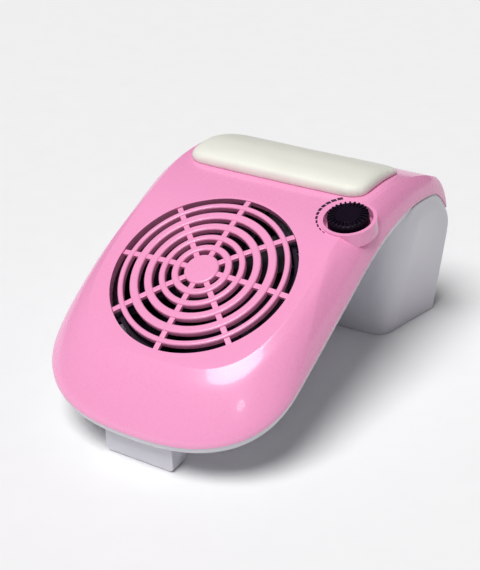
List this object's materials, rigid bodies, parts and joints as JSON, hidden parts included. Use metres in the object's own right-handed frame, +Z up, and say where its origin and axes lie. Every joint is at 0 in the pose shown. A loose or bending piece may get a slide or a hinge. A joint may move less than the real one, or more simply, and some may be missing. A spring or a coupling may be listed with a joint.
{
  "type": "nail dust collector",
  "caption": "Table-top nail dust collector: sloping deck with round intake grille over a fan, padded hand rest, speed knob and rear leg with exhaust filter.",
  "frame": {"origin": "middle of the bounding box, on the table under the feet", "axes": "+X to the right of someone facing the nose, +Y from the nose to the rear leg, +Z up"},
  "size_m": [0.1858, 0.288, 0.1441],
  "materials": {
    "pink_cover": "glossy pink moulded ABS",
    "white_base": "glossy white moulded ABS",
    "rubber_pad": "pale grey non-slip rubber",
    "leatherette": "ivory grained leatherette over foam",
    "rest_board": "thin plywood backing board",
    "black_plastic": "black moulded nylon",
    "knob_black": "glossy purple-black knob",
    "impeller_black": "black glass-filled impeller",
    "steel": "zinc plated steel",
    "brass": "brass shaft",
    "filter_foam": "open cell filter foam",
    "circuit": "green circuit board"
  },
  "bodies": {
    "housing": {"top_cover": "pink_cover", "base_shell": "white_base", "front_foot": "white_base", "foot_strip": "rubber_pad", "foot_pad_1": "rubber_pad", "foot_pad_2": "rubber_pad", "foot_pad_3": "rubber_pad", "foot_pad_4": "rubber_pad", "hand_rest_board": "rest_board", "hand_rest_cushion": "leatherette", "fan_frame": "black_plastic", "motor_stator": "steel", "bearing_upper": "steel", "bearing_lower": "steel", "fan_screw_1": "steel", "fan_screw_2": "steel", "fan_screw_3": "steel", "fan_screw_4": "steel", "case_screw_1": "steel", "case_screw_2": "steel", "case_screw_3": "steel", "case_screw_4": "steel", "pot_body": "steel", "pot_can": "black_plastic", "control_board": "circuit", "board_capacitor": "black_plastic", "board_screw_1": "steel", "board_screw_2": "steel", "power_socket": "black_plastic", "motor_lead": "black_plastic", "mains_lead": "black_plastic"},
    "fan": {"fan_impeller": "impeller_black", "rotor_ring": "steel", "motor_shaft": "steel"},
    "knob": {"speed_knob": "knob_black", "pot_shaft": "brass"},
    "grille": {"intake_grille": "pink_cover"},
    "cassette": {"filter_cassette": "white_base", "filter_pad": "filter_foam"}
  },
  "joints": [
    {"name": "fan_spin", "type": "hinge", "parent": "housing", "child": "fan", "pos_m": [0, -0.05, 0.10234], "axis": [0, -0.4305, 0.9026], "continuous": true},
    {"name": "knob_turn", "type": "hinge", "parent": "housing", "child": "knob", "pos_m": [0.0734, 0.018, 0.13054], "axis": [0, 0.213, -0.977], "range_deg": [0, 300]},
    {"name": "grille_lift", "type": "slide", "parent": "housing", "child": "grille", "axis": [0, -0.4305, 0.9026], "range_m": [0, 0.03]},
    {"name": "cassette_slide", "type": "slide", "parent": "housing", "child": "cassette", "axis": [0, 1, 0], "range_m": [0, 0.04]}
  ]
}
